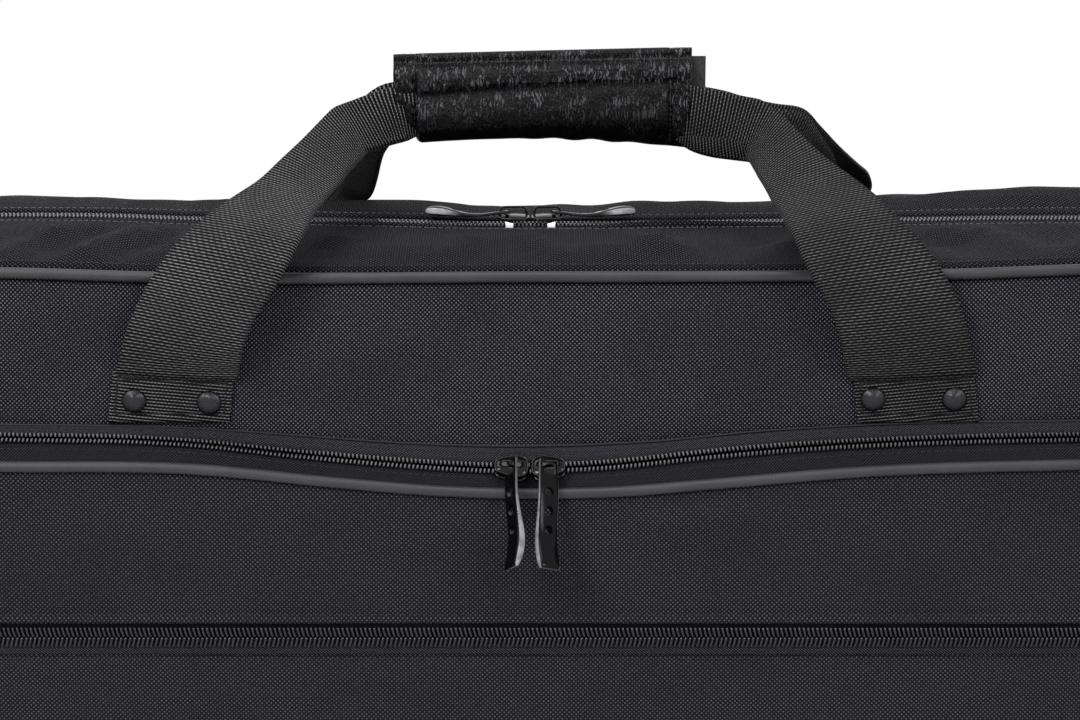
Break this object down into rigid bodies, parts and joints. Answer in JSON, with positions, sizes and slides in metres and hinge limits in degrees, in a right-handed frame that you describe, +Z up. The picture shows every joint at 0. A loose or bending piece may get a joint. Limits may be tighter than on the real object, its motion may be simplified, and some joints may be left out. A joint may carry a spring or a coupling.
{
  "type": "keyboard gig bag",
  "caption": "Padded box-shaped gig bag for a keyboard, with a zipped fold-down front half, a zipped front pocket with a flat pocket in it, and webbing straps joined by a wrapped grip.",
  "frame": {"origin": "middle of the base's underside, midway between the front and the back wall", "axes": "+X along the bag to the viewer's right when facing its front, +Y from the front to the back, +Z up"},
  "size_m": [1.0228, 0.2131, 0.486],
  "materials": {
    "outer_fabric": "woven, matt",
    "gusset_fabric": "woven over thin padding, matt",
    "foam": "closed-cell foam sheet",
    "lining": "thin woven lining",
    "piping_vinyl": "soft vinyl, satin",
    "zip_tape": "twill tape",
    "zip_coil": "nylon coil",
    "black_metal": "glossy black",
    "gunmetal": "dark brushed metal",
    "webbing": "ribbed webbing",
    "grip_leather": "pebbled, semi-gloss",
    "closure_tape": "hook and loop"
  },
  "bodies": {
    "tray": {"back_panel_fabric": "outer_fabric", "back_panel_foam": "foam", "back_panel_lining": "lining", "back_gusset": "gusset_fabric", "back_piping": "piping_vinyl", "back_zip_tape": "zip_tape", "back_zip_coil": "zip_coil", "base_gusset": "gusset_fabric", "left_zip_stop": "black_metal", "right_zip_stop": "black_metal", "rear_left_strap_end": "webbing", "rear_right_strap_end": "webbing", "rear_left_rivet_a": "gunmetal", "rear_left_rivet_b": "gunmetal", "rear_right_rivet_a": "gunmetal", "rear_right_rivet_b": "gunmetal"},
    "cover": {"front_panel_fabric": "outer_fabric", "front_panel_foam": "foam", "front_panel_lining": "lining", "front_gusset": "gusset_fabric", "front_piping": "piping_vinyl", "front_zip_tape": "zip_tape", "front_zip_coil": "zip_coil", "pocket_panel": "outer_fabric", "pocket_gusset": "gusset_fabric", "pocket_piping": "piping_vinyl", "pocket_zip_upper_tape": "zip_tape", "pocket_zip_upper_coil": "zip_coil", "pocket_zip_lower_coil": "zip_coil", "pocket_zip_lower_tape": "zip_tape", "flat_zip_upper_tape": "zip_tape", "flat_zip_upper_coil": "zip_coil", "flat_zip_lower_tape": "zip_tape", "flat_zip_lower_coil": "zip_coil", "flat_pocket_pouch": "lining", "front_left_strap_end": "webbing", "front_right_strap_end": "webbing", "front_left_rivet_a": "gunmetal", "front_left_rivet_b": "gunmetal", "front_right_rivet_a": "gunmetal", "front_right_rivet_b": "gunmetal"},
    "front_handle": {"front_handle_strap": "webbing"},
    "rear_handle": {"rear_handle_strap": "webbing", "wrap_rear": "grip_leather", "wrap_hook_tape": "closure_tape"},
    "wrap_flap": {"wrap_front_flap": "grip_leather", "wrap_loop_tape": "closure_tape"},
    "left_main_slider_body": {"left_main_slider": "black_metal"},
    "right_main_slider_body": {"right_main_slider": "black_metal"},
    "left_main_pull_body": {"left_main_pull": "black_metal"},
    "right_main_pull_body": {"right_main_pull": "black_metal"},
    "left_pocket_slider_body": {"left_pocket_slider": "black_metal"},
    "right_pocket_slider_body": {"right_pocket_slider": "black_metal"},
    "left_pocket_pull_body": {"left_pocket_pull": "black_metal"},
    "right_pocket_pull_body": {"right_pocket_pull": "black_metal"},
    "flat_slider_body": {"flat_slider": "black_metal"},
    "flat_pull_body": {"flat_pull": "black_metal"}
  },
  "joints": [
    {"name": "cover_hinge", "type": "hinge", "parent": "tray", "child": "cover", "pos_m": [0, -0.07775, 0.00225], "axis": [1, 0, 0], "range_deg": [0, 90]},
    {"name": "front_handle_swing", "type": "hinge", "parent": "cover", "child": "front_handle", "pos_m": [0, -0.0811, 0.366], "axis": [1, 0, 0], "range_deg": [0, 120]},
    {"name": "rear_handle_swing", "type": "hinge", "parent": "tray", "child": "rear_handle", "pos_m": [0, 0.0811, 0.366], "axis": [-1, 0, 0], "range_deg": [0, 120]},
    {"name": "wrap_flap_swing", "type": "hinge", "parent": "rear_handle", "child": "wrap_flap", "pos_m": [0, 0, 0.447], "axis": [1, 0, 0], "range_deg": [0, 120]},
    {"name": "left_main_slide", "type": "slide", "parent": "tray", "child": "left_main_slider_body", "axis": [-1, 0, 0], "range_m": [0, 0.43]},
    {"name": "right_main_slide", "type": "slide", "parent": "tray", "child": "right_main_slider_body", "axis": [1, 0, 0], "range_m": [0, 0.43]},
    {"name": "left_main_pull_swing", "type": "hinge", "parent": "left_main_slider_body", "child": "left_main_pull_body", "pos_m": [-0.01555, 0, 0.4174], "axis": [0.1736, 0.9848, 0], "range_deg": [0, 45]},
    {"name": "right_main_pull_swing", "type": "hinge", "parent": "right_main_slider_body", "child": "right_main_pull_body", "pos_m": [0.00455, 0, 0.4174], "axis": [0.1736, -0.9848, 0], "range_deg": [0, 45]},
    {"name": "left_pocket_slide", "type": "slide", "parent": "cover", "child": "left_pocket_slider_body", "axis": [-0.9993, 0, 0.0375], "range_m": [0, 0.37]},
    {"name": "right_pocket_slide", "type": "slide", "parent": "cover", "child": "right_pocket_slider_body", "axis": [0.9993, 0, 0.0375], "range_m": [0, 0.38]},
    {"name": "left_pocket_pull_swing", "type": "hinge", "parent": "left_pocket_slider_body", "child": "left_pocket_pull_body", "pos_m": [-0.01288, -0.09223, 0.3324], "axis": [-0.9993, 0, 0.0375], "range_deg": [0, 110]},
    {"name": "right_pocket_pull_swing", "type": "hinge", "parent": "right_pocket_slider_body", "child": "right_pocket_pull_body", "pos_m": [0.00188, -0.09223, 0.3324], "axis": [-0.9993, 0, -0.0375], "range_deg": [0, 110]},
    {"name": "flat_slide", "type": "slide", "parent": "cover", "child": "flat_slider_body", "axis": [-1, 0, 0], "range_m": [0, 0.7]},
    {"name": "flat_pull_swing", "type": "hinge", "parent": "flat_slider_body", "child": "flat_pull_body", "pos_m": [0.351, -0.10249, 0.2573], "axis": [-1, 0, 0], "range_deg": [0, 110]}
  ]
}
